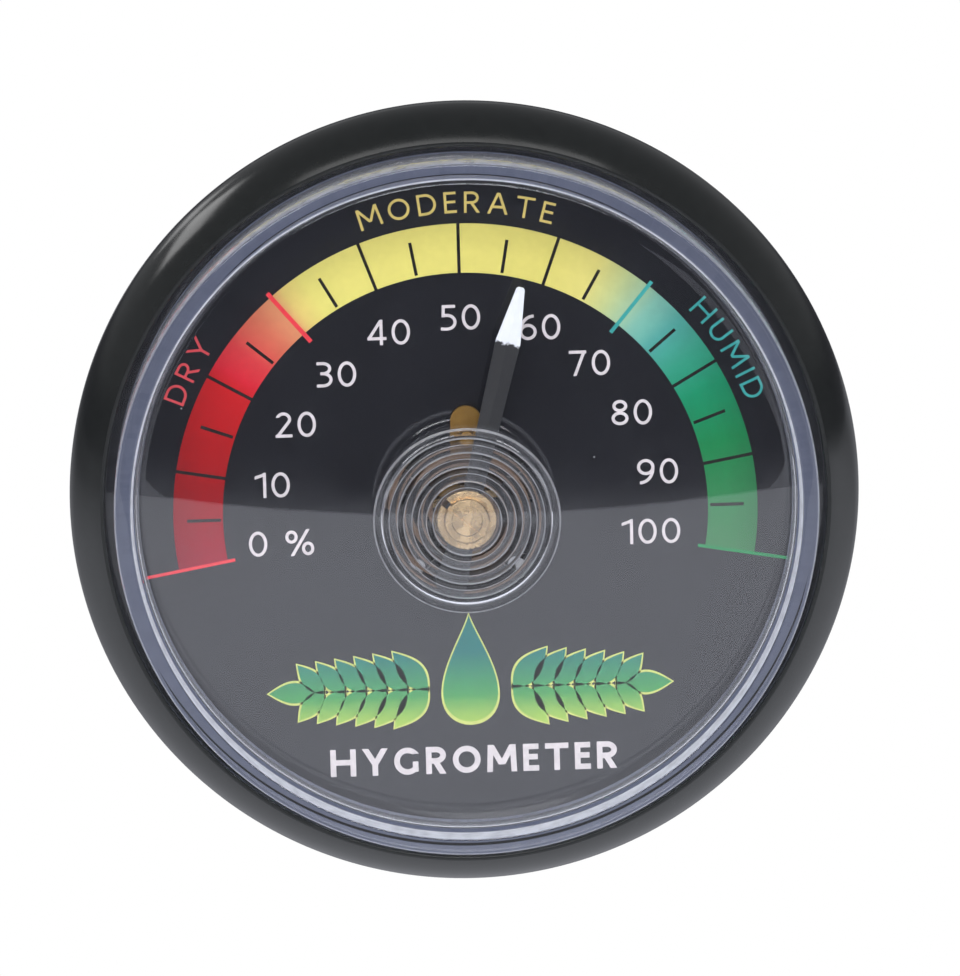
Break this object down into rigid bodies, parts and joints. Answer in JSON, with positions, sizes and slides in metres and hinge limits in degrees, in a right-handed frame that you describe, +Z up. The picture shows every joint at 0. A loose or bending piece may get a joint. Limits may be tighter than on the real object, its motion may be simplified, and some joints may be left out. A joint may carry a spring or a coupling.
{
  "type": "dial hygrometer",
  "caption": "Round wall-mounted dial hygrometer: black rim, clear raised lens with a ringed boss over the pivot, coloured humidity scale, white-tipped pointer, adhesive back.",
  "frame": {"origin": "centre of the adhesive ring's back face, on the case's axis, in the plane of the wall that it is stuck to", "axes": "+Z up the dial, -Y out of the dial towards the viewer, +Y into the wall, +X to the viewer's right"},
  "size_m": [0.075, 0.0125, 0.075],
  "materials": {
    "black_plastic": "moulded black ABS, satin gloss",
    "clear_plastic": "clear moulded polystyrene, polished",
    "printed_film": "glossy black film with a printed scale",
    "dial_backing": "grey card-like plastic sheet",
    "foam_tape": "white foam tape, cut edge, pale release surface",
    "brass": "bright turned brass",
    "dull_brass": "dull ochre brass sheet",
    "spring_steel": "plain spring steel",
    "coil_strip": "brown laminated strip, satin",
    "pointer_paint": "satin black with a white tip"
  },
  "bodies": {
    "case": {"bezel_ring": "black_plastic", "front_lens": "clear_plastic", "dial_film": "printed_film", "dial_plate": "dial_backing", "back_cover": "black_plastic", "adhesive_ring": "foam_tape"},
    "movement": {"calibration_stud": "brass", "friction_washer": "spring_steel", "retaining_clip": "spring_steel", "movement_bar": "dull_brass", "coil_post": "dull_brass", "coil_end_pin": "spring_steel", "humidity_coil": "coil_strip"},
    "pointer_assembly": {"arbor": "spring_steel", "coil_hub": "brass", "pointer": "pointer_paint", "pointer_collar": "brass", "pointer_screw": "brass"}
  },
  "joints": [
    {"name": "calibration_turn", "type": "hinge", "parent": "case", "child": "movement", "pos_m": [0, -0.0042, -0.0014], "axis": [0, 1, 0], "range_deg": [-15, 15]},
    {"name": "pointer_sweep", "type": "hinge", "parent": "movement", "child": "pointer_assembly", "pos_m": [0, -0.0055, -0.0014], "axis": [0, 1, 0], "range_deg": [-114.5, 85.5], "stiffness_Nm_per_rad": 0.0002, "deforming": ["humidity_coil"]}
  ]
}
